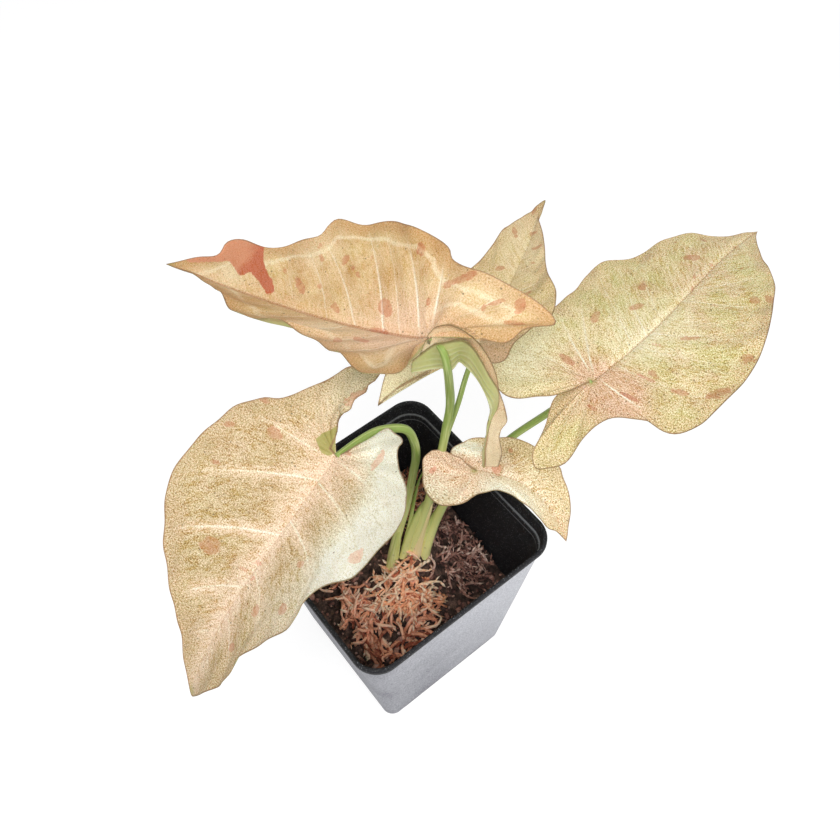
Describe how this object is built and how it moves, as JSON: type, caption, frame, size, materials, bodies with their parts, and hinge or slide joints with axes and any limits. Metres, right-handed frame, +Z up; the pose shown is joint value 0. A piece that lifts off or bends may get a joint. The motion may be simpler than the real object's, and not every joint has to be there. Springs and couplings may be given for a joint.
{
  "type": "potted syngonium",
  "caption": "Small arrowhead vine with broad cream and pink leaves on upright green stalks, growing in potting mix and moss in a black square tapered nursery pot.",
  "frame": {"origin": "centre of the pot's underside, on the surface it stands on", "axes": "+Z up, +X and +Y along the pot's straight sides; the longest leaf points to +X"},
  "size_m": [0.2844, 0.1713, 0.2113],
  "materials": {
    "pot": "thin black plastic, satin",
    "potting_mix": "loose dark peat, rough",
    "moss": "dry sphagnum and coir fibre, rough",
    "petiole": "fresh green stalk, soft sheen",
    "stem": "fibrous stem, dull",
    "blade": "leaf, cream with pink blotches, soft sheen"
  },
  "bodies": {
    "root": {"nursery_pot": "pot", "potting_mix": "potting_mix", "moss_crown": "moss", "moss_front": "moss", "moss_left": "moss", "moss_back": "moss", "coir_chips": "moss", "stem_base": "stem", "leaf_sheath": "petiole", "petiole_top": "petiole", "petiole_left": "petiole", "petiole_right": "petiole", "petiole_back": "petiole", "petiole_low": "petiole", "blade_top": "blade", "blade_left": "blade", "blade_right": "blade", "blade_back": "blade", "blade_low": "blade"}
  },
  "joints": []
}
